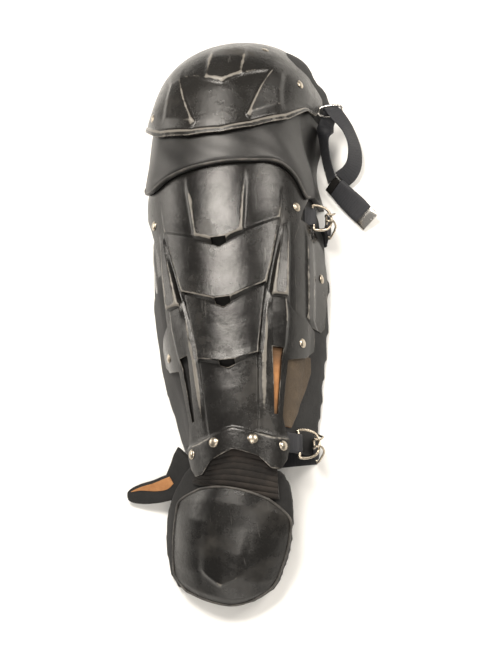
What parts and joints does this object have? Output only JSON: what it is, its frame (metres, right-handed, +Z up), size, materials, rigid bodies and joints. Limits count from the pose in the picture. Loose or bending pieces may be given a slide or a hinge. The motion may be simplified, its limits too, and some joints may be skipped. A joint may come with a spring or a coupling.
{
  "type": "catcher leg guard",
  "caption": "Leg guard for a catcher: ribbed moulded shin shell, round knee cap and hinged toe cap over padding, with back straps and rings.",
  "frame": {"origin": "middle of the bottom of the whole guard, on the floor it lies on", "axes": "+Z up out of the floor, +Y along the leg from the toe to the knee, +X to the side with the rings and the knee strap"},
  "size_m": [0.3076, 0.6466, 0.1538],
  "materials": {
    "moulded_plastic": "satin, lightly scuffed",
    "band_fabric": "smooth padded cloth",
    "pad_fabric": "soft knitted cloth",
    "tan_foam": "brushed foam",
    "instep_fabric": "ribbed cloth",
    "webbing": "woven strap",
    "nickel": "worn nickel plate"
  },
  "bodies": {
    "root": {"shin_shell": "moulded_plastic", "knee_cap_shell": "moulded_plastic", "knee_band": "band_fabric", "knee_pad": "pad_fabric", "shin_pad": "pad_fabric", "side_wing_left": "moulded_plastic", "side_wing_right": "moulded_plastic", "foam_panel": "tan_foam", "toe_cap": "moulded_plastic", "foot_pad": "pad_fabric", "instep_pad": "instep_fabric", "ankle_tongue": "pad_fabric", "calf_ring": "nickel", "calf_ring_tab": "webbing", "calf_strap": "webbing", "calf_hook": "nickel", "ankle_ring": "nickel", "ankle_ring_tab": "webbing", "ankle_strap": "webbing", "ankle_hook": "nickel", "knee_strap": "webbing", "knee_ring": "nickel", "knee_strap_slide": "moulded_plastic", "knee_strap_end": "webbing", "knee_strap_clip": "nickel", "rivet_top_right": "nickel", "rivet_top_left": "nickel", "rivet_lug_right": "nickel", "rivet_lug_left": "nickel", "rivet_ankle_right": "nickel", "rivet_ankle_left": "nickel", "rivet_arch_right": "nickel", "rivet_arch_left": "nickel", "rivet_wing_right": "nickel", "rivet_wing_left": "nickel", "rivet_cap_right": "nickel", "rivet_cap_left": "nickel", "rivet_cap_top": "nickel"}
  },
  "joints": []
}
